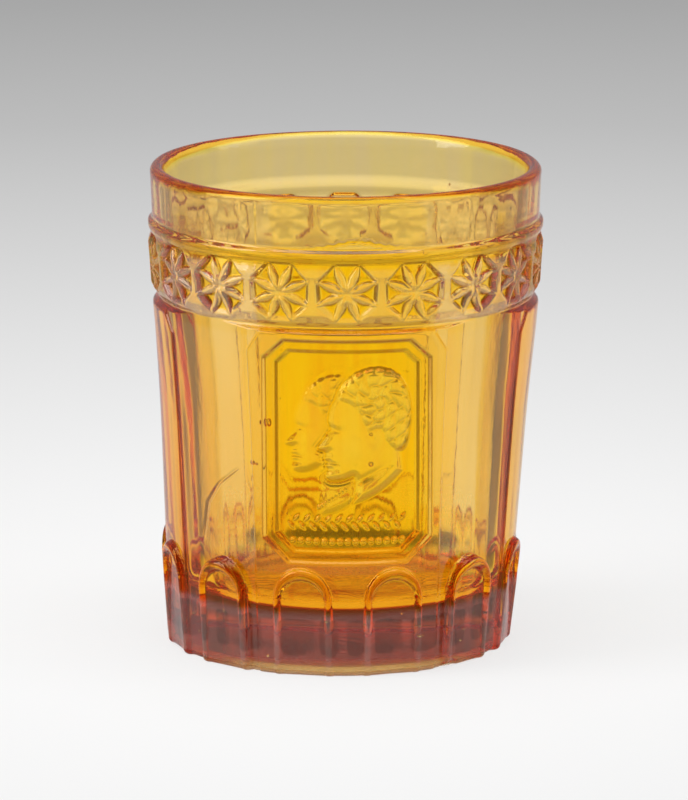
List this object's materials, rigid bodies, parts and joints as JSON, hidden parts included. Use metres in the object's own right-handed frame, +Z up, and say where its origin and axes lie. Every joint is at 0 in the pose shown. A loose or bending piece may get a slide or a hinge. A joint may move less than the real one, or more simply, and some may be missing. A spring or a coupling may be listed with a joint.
{
  "type": "pressed glass tumbler",
  "caption": "Commemorative pressed amber glass tumbler with a rosette band, octagonal plaques, a low relief of two heads in profile and an arcaded foot; holds a drink.",
  "frame": {"origin": "centre of the resting ring, on the surface that the glass stands on", "axes": "+Z up through the mouth, -Y out of the front plaque with the two heads, +X to the right of it"},
  "size_m": [0.0808, 0.0806, 0.099],
  "materials": {
    "amber_glass": "clear amber pressed glass, fire polished"
  },
  "bodies": {
    "root": {"tumbler": "amber_glass"}
  },
  "joints": []
}
